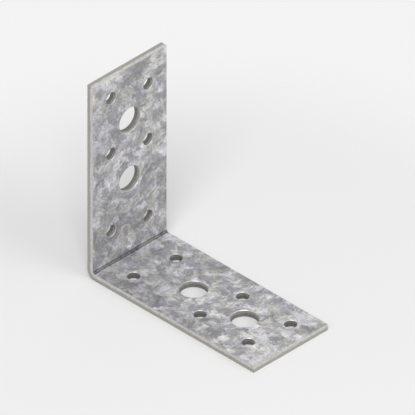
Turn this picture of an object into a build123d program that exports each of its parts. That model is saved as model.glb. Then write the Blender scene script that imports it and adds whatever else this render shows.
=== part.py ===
from build123d import *
import os

# Angle bracket: a punched strip of galvanised steel sheet, folded once to a right angle.
# The origin is the heel, the corner where the planes of the two outer faces meet, midway across the strip.
# The base leg lies along +X with its outer face on z = 0, and the upright leg stands along +Z with its
# outer face on x = 0. Sizes are in millimetres.

# Folded strip
strip_width = 40.0
thickness = 3.0
base_length = 90.0  # heel to the base leg's end
upright_length = 90.0  # heel to the upright leg's end
bend_radius = 1.0  # inside of the fold
sheared_edge_radius = 0.25  # soft edge that the shear leaves on the inner side
punched_rim_depth = 0.25  # soft rim that the punch leaves on the inner side, a chamfer at 45 degrees

# Nail holes, in staggered pairs across each leg
nail_hole_diameter = 5.0
nail_gauge = 20.0  # across the strip, between the two holes of a pair
nail_stagger = 3.0  # along the strip, between the two holes of a pair
heel_pair_from_heel = 16.5  # heel to the middle of the first pair
middle_pair_from_end = 37.5  # leg's end to the middle of the second pair
end_pair_from_end = 11.5  # leg's end to the middle of the last pair

# Bolt holes, on each leg's centre line
bolt_hole_diameter = 11.0
inner_bolt_from_end = 52.5  # leg's end to the bolt hole nearer the heel
outer_bolt_from_end = 25.0  # leg's end to the bolt hole nearer the end

# Inner face of each leg: local x runs from the heel to the leg's end, and z points into the angle.
# Half a turn about the line that halves the angle swaps the two planes, so one pattern serves both legs.
base_face = Plane(origin=(0, 0, thickness), x_dir=(1, 0, 0), z_dir=(0, 0, 1))
upright_face = Plane(origin=(thickness, 0, 0), x_dir=(0, 0, 1), z_dir=(1, 0, 0))


def nail_centres(length):
    """Centres of the nail holes of a leg this long. In each pair, the hole on local +y is further out."""
    pairs = (heel_pair_from_heel, length - middle_pair_from_end, length - end_pair_from_end)
    return [
        (middle + side * nail_stagger / 2, side * nail_gauge / 2)
        for middle in pairs
        for side in (-1, 1)
    ]


def bolt_centres(length):
    """Centres of the two bolt holes of a leg this long, on its centre line."""
    return [(length - inner_bolt_from_end, 0), (length - outer_bolt_from_end, 0)]


with BuildPart() as angle_bracket:
    # Folded strip: its outer face drawn as a line, thickened towards the inside of the angle
    outer_radius = bend_radius + thickness
    with BuildSketch(Plane.XZ):
        with BuildLine():
            upright = Line((0, upright_length), (0, outer_radius))
            fold = JernArc(upright @ 1, upright % 1, radius=outer_radius, arc_size=90)
            Line(fold @ 1, (base_length, 0))
            offset(amount=thickness, side=Side.LEFT)
        make_face()
    extrude(amount=strip_width / 2, both=True)

    # Soft edge left by the shear, where the faces inside the angle meet the strip's sides and ends
    faces = angle_bracket.faces()
    base_end = faces.sort_by(Axis.X)[-1]
    upright_end = faces.sort_by(Axis.Z)[-1]
    sheared = faces.filter_by(Axis.Y) + ShapeList([base_end, upright_end])
    into_angle = Vector(1, 0, 1)
    inside = (faces - sheared).filter_by(lambda face: face.normal_at().dot(into_angle) > 0)
    fillet(inside.edges() & sheared.edges(), radius=sheared_edge_radius)

    # Holes of both legs, punched from the inner faces, with the soft rim that this leaves there
    for leg_face, length in ((base_face, base_length), (upright_face, upright_length)):
        with BuildSketch(leg_face):
            with Locations(*nail_centres(length)):
                Circle(nail_hole_diameter / 2)
            with Locations(*bolt_centres(length)):
                Circle(bolt_hole_diameter / 2)
    extrude(amount=-thickness, mode=Mode.SUBTRACT)
    hole_edges = angle_bracket.edges(Select.LAST).filter_by(GeomType.CIRCLE)
    base_rims = hole_edges.filter_by(lambda edge: base_face.contains(edge.arc_center))
    upright_rims = hole_edges.filter_by(lambda edge: upright_face.contains(edge.arc_center))
    chamfer(base_rims + upright_rims, length=punched_rim_depth)

angle_bracket.part.label = "angle_bracket"

os.makedirs("parts", exist_ok=True)
export_step(angle_bracket.part, "parts/angle_bracket.step")
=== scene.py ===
import itertools
import math
from typing import NamedTuple

import bpy
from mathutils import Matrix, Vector


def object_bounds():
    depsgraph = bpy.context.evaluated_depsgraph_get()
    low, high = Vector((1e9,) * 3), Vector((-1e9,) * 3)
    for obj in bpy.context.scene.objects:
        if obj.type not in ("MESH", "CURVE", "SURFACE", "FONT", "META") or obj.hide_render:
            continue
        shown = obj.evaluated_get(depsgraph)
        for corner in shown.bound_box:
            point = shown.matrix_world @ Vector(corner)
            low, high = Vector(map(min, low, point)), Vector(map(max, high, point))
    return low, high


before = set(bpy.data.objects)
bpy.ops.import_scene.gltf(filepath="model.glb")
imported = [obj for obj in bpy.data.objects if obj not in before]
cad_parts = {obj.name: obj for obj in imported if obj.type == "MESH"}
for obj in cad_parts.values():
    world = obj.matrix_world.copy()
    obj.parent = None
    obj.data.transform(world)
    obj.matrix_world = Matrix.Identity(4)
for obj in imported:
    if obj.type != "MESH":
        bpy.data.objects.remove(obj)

# The finish of the angle bracket: mottled zinc on the faces of the sheet, and bare cut steel on its sheared
# sides and in its punched holes. Places are in metres, in the part's own frame. Inside the material they are
# in millimetres.
MM_PER_METRE = 1000.0


class Noise(NamedTuple):
    """Fractal noise: the size of its features in millimetres, how many finer layers it has and how strong
    they are, and how far it swirls."""

    size: float
    detail: float = 2.0
    roughness: float = 0.5
    distortion: float = 0.0


# The folded sheet, in millimetres
THICKNESS = 3.0
FOLD_RADIUS = 4.0  # outside of the fold
FOLD_ENDS = 0.07  # share of the fold's turn over which its finish sets in, at each leg
FOLD_BORDERS = (0.22, 0.36)  # shares of its turn, from the middle, at which its borders begin and are whole

# Depths from the outer face, between which one kind of surface passes into the next
OUTER_FACE_END = (0.02, 0.10)
CUT_END = (THICKNESS - 0.36, THICKNESS - 0.24)
RIM_START = (THICKNESS - 0.32, THICKNESS - 0.22)
RIM_END = (THICKNESS - 0.06, THICKNESS - 0.01)
HOLE_MARGIN = (0.3, 0.1)  # from the strip's sides and ends: further in, a cut is a hole's wall

# Crystals of the zinc, in millimetres
LARGE_CRYSTALS = 6.0
SMALL_CRYSTALS = 3.0
BORDER_SOFTNESS = 0.06
BORDER_DRIFT = Noise(2.2, detail=4.0, roughness=0.65)  # frays the crystals' borders
BORDER_REACH = 5.0  # millimetres for a drift of 1
FACE_SPACING = 12.5  # stretches the depth in the pattern, so that the two faces differ; this value puts pale patches beside the fold on the inner faces, painted light against the shade there
CRYSTAL_TILT = 0.22  # how far each crystal leans

# Mottling of the zinc
CLOUDS = Noise(7.0, detail=5.0, roughness=0.6, distortion=0.6)
STREAKS = Noise(0.9, detail=3.0, roughness=0.65)
STREAK_STRETCH = 0.16  # width of a streak over its length
FLECKS = Noise(2.6, detail=4.0, roughness=0.7, distortion=0.4)
GRAIN = Noise(1.1, detail=3.0, roughness=0.7)
MOTTLE_SHARES = {  # what each layer adds to the brightness, from its darkest to its palest
    "large_crystals": 0.22,
    "small_crystals": 0.25,
    "clouds": 0.20,
    "streaks": 0.60,
    "flecks": 0.42,
    "grain": 0.44,
}
MOTTLE_LEVEL = 0.449  # mean brightness without the frost, from 0 to 1

# Frost: paler drifts, added to the rest
FROST = Noise(4.6, detail=5.0, roughness=0.62, distortion=0.5)
FROST_SLANT = math.radians(50)
FROST_STRETCH = 0.55  # width of a drift over its length
FROST_STREAKS = 0.10  # share of the streaks in it
FROST_EDGES = (0.53, 0.83)  # noise at which it sets in, and at which it is thickest
FROST_SHARE = 0.34

# Zinc: its colour by its brightness, its tint by a drift of its own, and its roughness
ZINC_SHADES = (  # at each brightness
    (0.20, (0.23, 0.23, 0.235)),
    (0.42, (0.365, 0.365, 0.368)),
    (0.58, (0.51, 0.51, 0.51)),
    (0.88, (0.87, 0.87, 0.87)),
)
ZINC_TINTS = (  # at each value of the drift: rose, violet, warm grey and steel blue
    (0.30, (1.03, 0.97, 0.985)),
    (0.43, (0.965, 0.97, 1.045)),
    (0.55, (1.01, 0.985, 0.955)),
    (0.70, (0.955, 0.99, 1.005)),
)
TINT_DRIFT = Noise(4.5, detail=3.0)
TINT_SHIFT = (200.0, 0.0, 0.0)  # takes the tint's drift away from the mottling's noise
DARK_AND_PALE = (0.25, 0.75)  # brightness of zinc with the first and with the second roughness
ZINC_ROUGHNESS = (0.50, 0.34)

# Fold: fine lines along it, and the tones that they give the crease inside it, which are painted shade, and
# the bend outside
FOLD_LINES = Noise(1.3, detail=4.0, roughness=0.7)
FOLD_LINE_TURN = 30.0  # millimetres of the lines' pattern in the whole turn
FOLD_LINE_STRETCH = 0.35  # along the fold
CREASE_LINES = (0.38, 0.62)  # noise with the darkest and with the palest tone
# Painted shade: the crease inside the fold is darkened to these tones, as if in shadow
CREASE_SHADE_TONES = (0.20, 0.44)
CREASE_BORDER_SHADE = 0.80  # times the other tones, at the crease's borders: painted shade, darkest there
BEND_LINES = (0.35, 0.65)
BEND_TONES = (0.62, 0.92)
FOLD_ROUGHNESS = 0.55

# Hairline scratches from handling
SCRATCHES = Noise(1.1, detail=1.0)
SCRATCH_SLOPE = 0.35  # millimetres across the strip for each along it
SCRATCH_STRETCH = 0.03  # width of their pattern over its length
SCRATCH_LEVEL = 0.62  # noise along the middle of a scratch
SCRATCH_WIDTH = 0.012  # change in the noise from there to its edge
SCRATCH_COVER = 0.35  # share of its own grey on a scratch
SCRATCH_TONE = 0.70

# Line that the folding die leaves on each outer face
DIE_MARK = 9.5  # millimetres from the heel
DIE_MARK_EDGES = (0.1, 0.5)  # millimetres from its middle
DIE_MARK_WEAR = Noise(2.0, detail=4.0)
DIE_MARK_BREAKS = (0.35, 0.6)  # noise at which it breaks off, and at which it is whole
DIE_MARK_COVER = 0.4
DIE_MARK_TONE = 0.75
DIE_MARK_ROUGHNESS = 0.30

# Cut steel: torn next to the outer face, and burnished from there to the rim of the inner face
CUT_TINT = (1.0, 0.97, 0.925)
TEAR_START = 1.05  # least height of the torn zone, in millimetres
TEAR_REACH = 1.2  # how much higher it may reach
TEAR_WANDER = Noise(3.0, detail=3.0)
TEAR_BLEND = 0.15  # millimetres to each side of its edge
TORN = Noise(0.5, detail=5.0, roughness=0.75)
TORN_TONES = (0.32, 0.46)
TORN_ROUGHNESS = 0.62
TORN_DEPTH = 3.0  # of the relief, where the burnished band has 1
STROKES = Noise(0.45, detail=3.0, roughness=0.6)
STROKE_STRETCH = 0.10  # width of a stroke over its length
BURNISHED_TONES = (0.48, 0.70)
BURNISHED_ROUGHNESS = 0.32
CUT_NOISE = (0.3, 0.7)  # noise with the darkest and with the palest tone
SIDE_TONE = 0.99  # times the tones above, on the strip's sides and ends
HOLE_SHADE_TONE = 0.54  # the same in the holes, darker as painted shade on their walls

# Paler rim where a cut meets the inner face
RIM_COVER = 0.55
RIM_TONE = 0.56
RIM_POLISH = 0.7  # share of the rim's own roughness
RIM_ROUGHNESS = 0.34

# Relief: the height of each layer, and the depth of them all. Last, how metallic the whole surface is
SURFACE_GRAIN = Noise(0.8, detail=3.0, roughness=0.6)
MOTTLE_HEIGHT = 0.5
GRAIN_HEIGHT = 0.35
FOLD_LINE_HEIGHT = 1.2
RELIEF_STRENGTH = 0.6
RELIEF_DEPTH = 0.00004  # metres for a height of 1
METALLIC = 0.6

# Pale studio
BACKDROP = 0.90  # brightness of the floor and the backdrop, where 1 is white
FLOOR_SIZE = 1.4  # metres
FLOOR_ROUGHNESS = 0.9
FLOOR_FADE = (0.10, 0.172)  # distances from the part between which the floor passes into the backdrop
CONTACT = 0.00005  # nearer than this, the floor lets light through to the face that lies on it
SOFT_BOXES = {  # direction from the part, distance, width and share of the light on the floor
    "key_light": ((0.45, -0.62, 0.85), 2.60, 1.40, 0.36),
    "back_light": ((-0.60, 0.75, 0.62), 2.40, 1.80, 0.015),
    "side_light": ((0.95, 0.25, 0.40), 2.40, 1.40, 0.10),
}

# Camera: an isometric view with parallel lines, from the side of the open angle
AZIMUTH = math.radians(45)
ELEVATION = math.atan(1 / math.sqrt(2))
FRAME_WIDTH = 1.19  # in diagonals of the part, so that it fits from every side
CAMERA_DISTANCE = 0.6
CAMERA_NEAR = 0.01
CAMERA_FAR = 10.0


def grey(level):
    """An opaque grey, from 0 for black to 1 for white."""
    return (level, level, level, 1.0)


class Nodes:
    """Adds nodes to a material or to the world, and links what is given as a socket."""

    def __init__(self, owner):
        owner.use_nodes = True
        self.tree = owner.node_tree
        self.tree.nodes.clear()

    def add(self, kind, inputs=(), **settings):
        """A new node. Its inputs are given by the name or the number of their socket."""
        node = self.tree.nodes.new(kind)
        for name, value in settings.items():
            setattr(node, name, value)
        for name, value in dict(inputs).items():
            self.set(node.inputs[name], value)
        return node

    def set(self, socket, value):
        if isinstance(value, bpy.types.NodeSocket):
            self.tree.links.new(value, socket)
        else:
            socket.default_value = value

    def math(self, operation, *values):
        return self.add("ShaderNodeMath", enumerate(values), operation=operation).outputs[0]

    def vector(self, operation, *values):
        return self.add("ShaderNodeVectorMath", enumerate(values), operation=operation).outputs[0]

    def scale(self, vector, factor):
        inputs = {0: vector, "Scale": factor}
        return self.add("ShaderNodeVectorMath", inputs, operation="SCALE").outputs[0]

    def rotate(self, vector, angle):
        """The vector turned about Z."""
        inputs = {"Vector": vector, "Angle": angle}
        return self.add("ShaderNodeVectorRotate", inputs, rotation_type="Z_AXIS").outputs[0]

    def centred(self, colour):
        """A random colour, as a vector that may point any way."""
        return self.vector("SUBTRACT", colour, (0.5, 0.5, 0.5))

    def combine(self, x, y, z):
        return self.add("ShaderNodeCombineXYZ", {"X": x, "Y": y, "Z": z}).outputs[0]

    def split(self, vector):
        return self.add("ShaderNodeSeparateXYZ", {0: vector}).outputs

    def ramp(self, value, start, end, low=0.0, high=1.0):
        """Low before start, high after end, and a smooth passage between them."""
        inputs = {"Value": value, "From Min": start, "From Max": end, "To Min": low, "To Max": high}
        return self.add("ShaderNodeMapRange", inputs, interpolation_type="SMOOTHSTEP").outputs["Result"]

    def fall(self, value, start, end):
        """1 before start, 0 after end, and a smooth passage between them."""
        return self.ramp(value, start, end, 1.0, 0.0)

    def colour_ramp(self, value, stops, interpolation):
        """The colours of the stops, each at its position, blended between them."""
        node = self.add("ShaderNodeValToRGB", {"Fac": value})
        node.color_ramp.interpolation = interpolation
        elements = node.color_ramp.elements
        while len(elements) < len(stops):
            elements.new(0.5)
        for element, (position, colour) in zip(elements, stops):
            element.position = position
            element.color = (*colour, 1.0)
        return node.outputs["Color"]

    def mix(self, share, first, second):
        """The first where the share is 0, and the second where it is 1."""
        inputs = {"Factor": share, "A": first, "B": second}
        return self.add("ShaderNodeMix", inputs, data_type="FLOAT").outputs["Result"]

    # The mix node's sockets for vectors come after those for numbers, and those for colours come last.
    def mix_vectors(self, share, first, second):
        return self.add("ShaderNodeMix", {0: share, 4: first, 5: second}, data_type="VECTOR").outputs[1]

    def mix_colours(self, share, first, second, blend_type="MIX"):
        inputs = {0: share, 6: first, 7: second}
        return self.add("ShaderNodeMix", inputs, data_type="RGBA", blend_type=blend_type).outputs[2]

    def cover(self, colour, mask, share, tone):
        """The colour, with this share of a grey over it where the mask is 1."""
        return self.mix_colours(self.math("MULTIPLY", mask, share), colour, grey(tone))

    def darken(self, share, colour, factor):
        """The colour, with this share of it multiplied by factor."""
        multiplied = self.math("MULTIPLY_ADD", self.math("SUBTRACT", factor, 1.0), share, 1.0)
        return self.scale(colour, multiplied)

    def noise(self, place, noise, output="Fac"):
        """The noise at a place: a number from 0 to 1, or else a random colour."""
        inputs = {
            "Vector": place,
            "Scale": 1 / noise.size,
            "Detail": noise.detail,
            "Roughness": noise.roughness,
            "Distortion": noise.distortion,
        }
        return self.add("ShaderNodeTexNoise", inputs).outputs[output]

    def crystals(self, place, size):
        """Random colours, one for each cell of about this size, with their borders blended."""
        inputs = {"Vector": place, "Scale": 1 / size, "Smoothness": BORDER_SOFTNESS}
        return self.add("ShaderNodeTexVoronoi", inputs, feature="SMOOTH_F1").outputs["Color"]


class Sheet:
    """Where a point lies on the folded sheet, in millimetres, and which kind of surface it is on. Reach is
    the far corner of the part."""

    def __init__(self, nodes, reach):
        metres = nodes.add("ShaderNodeTexCoord").outputs["Object"]
        self.place = nodes.scale(metres, MM_PER_METRE)
        self.x, self.y, self.z = nodes.split(self.place)
        from_base = nodes.math("MAXIMUM", nodes.math("SUBTRACT", FOLD_RADIUS, self.x), 0.0)
        from_upright = nodes.math("MAXIMUM", nodes.math("SUBTRACT", FOLD_RADIUS, self.z), 0.0)
        squares = nodes.math(
            "ADD",
            nodes.math("MULTIPLY", from_base, from_base),
            nodes.math("MULTIPLY", from_upright, from_upright),
        )

        # Depth in the sheet: 0 on the outer face and the full thickness on the inner face
        self.depth = nodes.math("SUBTRACT", FOLD_RADIUS, nodes.math("SQRT", squares))
        self.inner = nodes.ramp(self.depth, THICKNESS / 3, THICKNESS * 2 / 3)

        # Turn of the fold: 0 at the upright leg and 1 at the base leg
        angle = nodes.math("ARCTAN2", from_upright, from_base)
        self.turn = nodes.math("DIVIDE", angle, math.pi / 2)
        past_upright = nodes.ramp(self.turn, 0.0, FOLD_ENDS)
        before_base = nodes.fall(self.turn, 1 - FOLD_ENDS, 1.0)
        self.fold = nodes.math("MULTIPLY", past_upright, before_base)
        from_middle = nodes.math("ABSOLUTE", nodes.math("SUBTRACT", self.turn, 0.5))
        self.fold_borders = nodes.ramp(from_middle, *FOLD_BORDERS)

        # The sheet laid flat: length along the strip, width across it, and the two faces far apart
        self.length = nodes.math("SUBTRACT", self.x, self.z)
        self.flat = nodes.combine(self.length, self.y, nodes.math("MULTIPLY", self.depth, FACE_SPACING))

        # Sheared sides, ends and hole walls lie between the two faces
        past_outer_face = nodes.ramp(self.depth, *OUTER_FACE_END)
        self.cut = nodes.math("MULTIPLY", past_outer_face, nodes.fall(self.depth, *CUT_END))
        past_cut = nodes.ramp(self.depth, *RIM_START)
        self.rim = nodes.math("MULTIPLY", past_cut, nodes.fall(self.depth, *RIM_END))

        # Holes lie inside the strip's sides and ends
        self.hole = 1.0
        for value, end in zip((self.x, nodes.math("ABSOLUTE", self.y), self.z), reach):
            inside = nodes.fall(value, *(end - margin for margin in HOLE_MARGIN))
            self.hole = nodes.math("MULTIPLY", self.hole, inside)


def frost(nodes, sheet, streaks):
    """Soft pale drifts, aslant to the strip."""
    aslant = nodes.rotate(sheet.flat, FROST_SLANT)
    place = nodes.vector("MULTIPLY", aslant, (1.0, FROST_STRETCH, 1.0))
    drifts = nodes.math("MULTIPLY_ADD", streaks, FROST_STREAKS, nodes.noise(place, FROST))
    return nodes.ramp(drifts, *FROST_EDGES)


def spangle(nodes, sheet):
    """The zinc's crystals: patches with frayed borders, each with fine streaks in a direction of its own,
    under soft clouds and pale frost. Returns how bright the zinc is, from 0 to 1, and the crystals' random
    colours."""
    drift = nodes.centred(nodes.noise(sheet.flat, BORDER_DRIFT, "Color"))
    place = nodes.vector("ADD", sheet.flat, nodes.scale(drift, BORDER_REACH))
    large = nodes.crystals(place, LARGE_CRYSTALS)
    small = nodes.crystals(place, SMALL_CRYSTALS)
    large_tone, large_turn, _ = nodes.split(large)

    # Streaks, turned with each crystal
    turned = nodes.rotate(sheet.flat, nodes.math("MULTIPLY", large_turn, 2 * math.pi))
    drawn_out = nodes.vector("MULTIPLY", turned, (1.0, STREAK_STRETCH, 1.0))
    streaks = nodes.noise(drawn_out, STREAKS)

    layers = {
        "large_crystals": large_tone,
        "small_crystals": nodes.split(small)["Y"],
        "clouds": nodes.noise(sheet.flat, CLOUDS),
        "streaks": streaks,
        "flecks": nodes.noise(sheet.flat, FLECKS),
        "grain": nodes.noise(sheet.flat, GRAIN),
    }
    brightness = MOTTLE_LEVEL - sum(MOTTLE_SHARES.values()) / 2
    for name, tone in layers.items():
        brightness = nodes.math("MULTIPLY_ADD", tone, MOTTLE_SHARES[name], brightness)
    brightness = nodes.math("MULTIPLY_ADD", frost(nodes, sheet, streaks), FROST_SHARE, brightness)
    return brightness, large


def zinc_colour(nodes, sheet, brightness):
    """Light and dark greys of the zinc, with a faint tint that drifts over the sheet."""
    shade = nodes.colour_ramp(brightness, ZINC_SHADES, "B_SPLINE")
    elsewhere = nodes.vector("ADD", sheet.flat, TINT_SHIFT)
    drift = nodes.noise(elsewhere, TINT_DRIFT)
    tint = nodes.colour_ramp(drift, ZINC_TINTS, "LINEAR")
    return nodes.mix_colours(1.0, shade, tint, "MULTIPLY")


def fold_lines(nodes, sheet):
    """Fine lines along the fold, where the zinc has crept."""
    through = nodes.math("MULTIPLY", sheet.turn, FOLD_LINE_TURN)
    along = nodes.math("MULTIPLY", sheet.y, FOLD_LINE_STRETCH)
    return nodes.noise(nodes.combine(through, along, sheet.depth), FOLD_LINES)


def scratches(nodes, sheet):
    """Hairline scratches from handling, aslant to the strip and only on the zinc."""
    along = nodes.math("MULTIPLY_ADD", sheet.y, SCRATCH_SLOPE, sheet.length)
    across = nodes.math("MULTIPLY_ADD", sheet.length, -SCRATCH_SLOPE, sheet.y)
    place = nodes.combine(nodes.math("MULTIPLY", along, SCRATCH_STRETCH), across, sheet.depth)
    off_line = nodes.math("SUBTRACT", nodes.noise(place, SCRATCHES), SCRATCH_LEVEL)
    lines = nodes.fall(nodes.math("ABSOLUTE", off_line), 0.0, SCRATCH_WIDTH)
    return nodes.math("MULTIPLY", lines, nodes.math("SUBTRACT", 1.0, sheet.cut))


def die_marks(nodes, sheet):
    """A faint worn line on each outer face, beside the fold, where the sheet bore on the folding die."""
    off_line = nodes.math("SUBTRACT", nodes.math("ABSOLUTE", sheet.length), DIE_MARK)
    line = nodes.fall(nodes.math("ABSOLUTE", off_line), *DIE_MARK_EDGES)
    broken = nodes.ramp(nodes.noise(sheet.place, DIE_MARK_WEAR), *DIE_MARK_BREAKS)
    on_outer_face = nodes.fall(sheet.depth, *OUTER_FACE_END)
    return nodes.math("MULTIPLY", nodes.math("MULTIPLY", line, broken), on_outer_face)


def cut_steel(nodes, sheet):
    """Colour, roughness and relief of cut steel: a burnished band below the inner face, and a rougher torn
    zone from there to the outer face. In the holes its tones are darkened as painted shade."""
    wander = nodes.noise(sheet.place, TEAR_WANDER)
    edge_of_tear = nodes.math("MULTIPLY_ADD", wander, TEAR_REACH, TEAR_START)
    above_tear = nodes.math("SUBTRACT", sheet.depth, edge_of_tear)
    burnished = nodes.ramp(above_tear, -TEAR_BLEND, TEAR_BLEND)

    # Strokes of the shear, through the thickness
    is_upright = nodes.math("GREATER_THAN", sheet.z, sheet.x)
    through_base = nodes.vector("MULTIPLY", sheet.place, (1.0, 1.0, STROKE_STRETCH))
    through_upright = nodes.vector("MULTIPLY", sheet.place, (STROKE_STRETCH, 1.0, 1.0))
    through = nodes.mix_vectors(is_upright, through_base, through_upright)
    strokes = nodes.noise(through, STROKES)

    torn = nodes.noise(sheet.place, TORN)
    torn_tone = nodes.ramp(torn, *CUT_NOISE, *TORN_TONES)
    burnished_tone = nodes.ramp(strokes, *CUT_NOISE, *BURNISHED_TONES)
    tone = nodes.mix(burnished, torn_tone, burnished_tone)
    # Painted shade: the hole walls are made darker than the sheared sides and ends
    tone = nodes.math("MULTIPLY", tone, nodes.mix(sheet.hole, SIDE_TONE, HOLE_SHADE_TONE))
    colour = nodes.scale(CUT_TINT, tone)
    roughness = nodes.mix(burnished, TORN_ROUGHNESS, BURNISHED_ROUGHNESS)
    height = nodes.mix(burnished, nodes.math("MULTIPLY", torn, TORN_DEPTH), strokes)
    return colour, roughness, height


def surface_colour(nodes, sheet, zinc, lines, marks, cut_colour):
    """Zinc, darkened in the fold (painted shade in the crease inside it, a darker tone on the bend outside)
    and worn on the die marks, and cut steel with paler rims.
    """
    # Painted shade: the crease inside the fold is darkened, and more at its borders
    crease_shade = nodes.ramp(lines, *CREASE_LINES, *CREASE_SHADE_TONES)
    at_borders = nodes.mix(sheet.fold_borders, 1.0, CREASE_BORDER_SHADE)
    crease_shade = nodes.math("MULTIPLY", crease_shade, at_borders)
    on_bend = nodes.ramp(lines, *BEND_LINES, *BEND_TONES)
    colour = nodes.darken(sheet.fold, zinc, nodes.mix(sheet.inner, on_bend, crease_shade))
    colour = nodes.cover(colour, marks, DIE_MARK_COVER, DIE_MARK_TONE)
    colour = nodes.mix_colours(sheet.cut, colour, cut_colour)
    colour = nodes.cover(colour, sheet.rim, RIM_COVER, RIM_TONE)
    return nodes.cover(colour, scratches(nodes, sheet), SCRATCH_COVER, SCRATCH_TONE)


def surface_roughness(nodes, sheet, brightness, marks, cut_roughness):
    """Duller in the fold, on dark zinc and where the steel is torn, and smoother on marks and rims."""
    rough = nodes.ramp(brightness, *DARK_AND_PALE, *ZINC_ROUGHNESS)
    rough = nodes.mix(sheet.cut, rough, cut_roughness)
    rough = nodes.mix(sheet.fold, rough, FOLD_ROUGHNESS)
    rough = nodes.mix(marks, rough, DIE_MARK_ROUGHNESS)
    return nodes.mix(nodes.math("MULTIPLY", sheet.rim, RIM_POLISH), rough, RIM_ROUGHNESS)


def surface_relief(nodes, sheet, brightness, crystal_colour, lines, cut_height):
    """The way that each point of the surface faces: every crystal leans its own way, under the relief of the
    mottling, the grain of the zinc, the lines of the fold and the cut steel."""
    grain = nodes.math("MULTIPLY", nodes.noise(sheet.place, SURFACE_GRAIN), GRAIN_HEIGHT)
    height = nodes.math("MULTIPLY_ADD", brightness, MOTTLE_HEIGHT, grain)
    in_fold = nodes.math("MULTIPLY", lines, sheet.fold)
    height = nodes.math("MULTIPLY_ADD", in_fold, FOLD_LINE_HEIGHT, height)
    height = nodes.mix(sheet.cut, height, cut_height)
    facing = nodes.add("ShaderNodeNewGeometry").outputs["Normal"]
    lean = nodes.scale(nodes.centred(crystal_colour), CRYSTAL_TILT)
    leaning = nodes.vector("NORMALIZE", nodes.vector("ADD", facing, lean))
    inputs = {"Strength": RELIEF_STRENGTH, "Distance": RELIEF_DEPTH, "Height": height, "Normal": leaning}
    return nodes.add("ShaderNodeBump", inputs).outputs["Normal"]


def galvanised_steel(material, reach):
    """Mottled zinc on the faces of the sheet, and bare cut steel on its sheared sides and in its holes."""
    nodes = Nodes(material)
    sheet = Sheet(nodes, reach)
    brightness, crystal_colour = spangle(nodes, sheet)
    lines = fold_lines(nodes, sheet)
    marks = die_marks(nodes, sheet)
    cut_colour, cut_roughness, cut_height = cut_steel(nodes, sheet)
    zinc = zinc_colour(nodes, sheet, brightness)
    shader_inputs = {
        "Base Color": surface_colour(nodes, sheet, zinc, lines, marks, cut_colour),
        "Metallic": METALLIC,
        "Roughness": surface_roughness(nodes, sheet, brightness, marks, cut_roughness),
        "Normal": surface_relief(nodes, sheet, brightness, crystal_colour, lines, cut_height),
    }
    shader = nodes.add("ShaderNodeBsdfPrincipled", shader_inputs)
    nodes.add("ShaderNodeOutputMaterial", {"Surface": shader.outputs["BSDF"]})


def pale_rays(nodes, path):
    """1 for the rays that show the backdrop: those from the camera, mirrored or passing through glass."""
    mirrored = nodes.math("MAXIMUM", path["Is Glossy Ray"], path["Is Transmission Ray"])
    return nodes.math("MAXIMUM", path["Is Camera Ray"], mirrored)


def add_world(fill):
    """A pale backdrop, which lights the part with this much fill."""
    world = bpy.data.worlds.new("pale_backdrop")
    bpy.context.scene.world = world
    nodes = Nodes(world)
    path = nodes.add("ShaderNodeLightPath").outputs
    strength = nodes.mix(pale_rays(nodes, path), fill, BACKDROP)
    background = nodes.add("ShaderNodeBackground", {"Color": grey(1.0), "Strength": strength})
    nodes.add("ShaderNodeOutputWorld", {"Surface": background.outputs[0]})


def floor_material(middle):
    """Pale floor that keeps the shadow near the part and passes into the backdrop further out. It doesn't
    show from below, and lets light through to the face that lies on it."""
    material = bpy.data.materials.new("pale_floor")
    nodes = Nodes(material)
    place = nodes.add("ShaderNodeNewGeometry").outputs
    path = nodes.add("ShaderNodeLightPath").outputs
    distance = nodes.add("ShaderNodeVectorMath", {0: place["Position"], 1: middle}, operation="DISTANCE")
    faded = nodes.ramp(distance.outputs["Value"], *FLOOR_FADE)
    faded = nodes.math("MULTIPLY", faded, pale_rays(nodes, path))
    touching = nodes.math("LESS_THAN", path["Ray Length"], CONTACT)
    hidden = nodes.math("MAXIMUM", place["Backfacing"], touching)
    hidden = nodes.math("MAXIMUM", faded, hidden)
    paint_inputs = {"Base Color": grey(BACKDROP), "Roughness": FLOOR_ROUGHNESS, "Specular IOR Level": 0.0}
    paint = nodes.add("ShaderNodeBsdfPrincipled", paint_inputs)
    clear = nodes.add("ShaderNodeBsdfTransparent")
    surface = nodes.add("ShaderNodeMixShader", {0: hidden, 1: paint.outputs[0], 2: clear.outputs[0]})
    nodes.add("ShaderNodeOutputMaterial", {"Surface": surface.outputs[0]})
    return material


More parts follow.
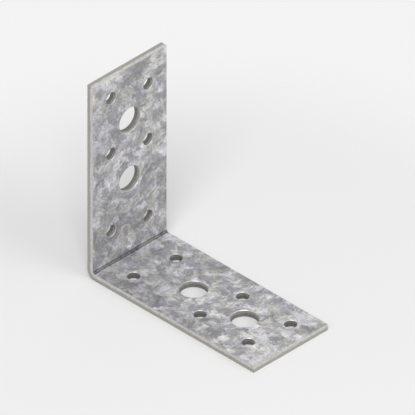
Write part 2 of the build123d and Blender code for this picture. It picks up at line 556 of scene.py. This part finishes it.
def add_floor(low, high):
    """The floor that the part rests on."""
    middle = Vector(((low.x + high.x) / 2, (low.y + high.y) / 2, low.z))
    half = FLOOR_SIZE / 2
    corners = [middle + Vector((i * half, j * half, 0)) for i, j in ((-1, -1), (1, -1), (1, 1), (-1, 1))]
    mesh = bpy.data.meshes.new("floor")
    mesh.from_pydata(corners, [], [(0, 1, 2, 3)])
    mesh.materials.append(floor_material(middle))
    floor = bpy.data.objects.new("floor", mesh)
    bpy.context.scene.collection.objects.link(floor)


def add_soft_box(name, middle, direction, distance, width, share):
    """A square soft box facing the part, which gives the floor beside it this share of plain white light."""
    direction = Vector(direction).normalized()
    lamp = bpy.data.lights.new(name, "AREA")
    lamp.size = width

    # From straight above, (pi * distance) ** 2 watts light a white floor to full white
    lamp.energy = share * (math.pi * distance) ** 2 / direction.z
    box = bpy.data.objects.new(name, lamp)
    box.location = middle + direction * distance
    box.rotation_mode = "QUATERNION"
    box.rotation_quaternion = direction.to_track_quat("Z", "Y")
    bpy.context.scene.collection.objects.link(box)


def add_camera(low, high):
    """An isometric camera with the part in the middle of its frame."""
    back = Vector((math.sin(AZIMUTH), -math.cos(AZIMUTH), math.tan(ELEVATION))).normalized()
    turn = back.to_track_quat("Z", "Y")
    corners = [turn.inverted() @ Vector(corner) for corner in itertools.product(*zip(low, high))]
    middle = Vector([(min(values) + max(values)) / 2 for values in zip(*corners)])
    camera = bpy.data.cameras.new("camera")
    camera.type = "ORTHO"
    camera.ortho_scale = (high - low).length * FRAME_WIDTH
    camera.clip_start = CAMERA_NEAR
    camera.clip_end = CAMERA_FAR
    eye = bpy.data.objects.new("camera", camera)
    eye.location = turn @ middle + back * CAMERA_DISTANCE
    eye.rotation_mode = "QUATERNION"
    eye.rotation_quaternion = turn
    bpy.context.scene.collection.objects.link(eye)
    bpy.context.scene.camera = eye


cad_low, cad_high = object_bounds()

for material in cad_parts["angle_bracket"].data.materials:
    galvanised_steel(material, cad_high * MM_PER_METRE)

add_floor(cad_low, cad_high)
add_world(1 - sum(share for *_, share in SOFT_BOXES.values()))
for name, soft_box in SOFT_BOXES.items():
    add_soft_box(name, (cad_low + cad_high) / 2, *soft_box)
add_camera(cad_low, cad_high)
bpy.context.scene.view_settings.view_transform = "Standard"
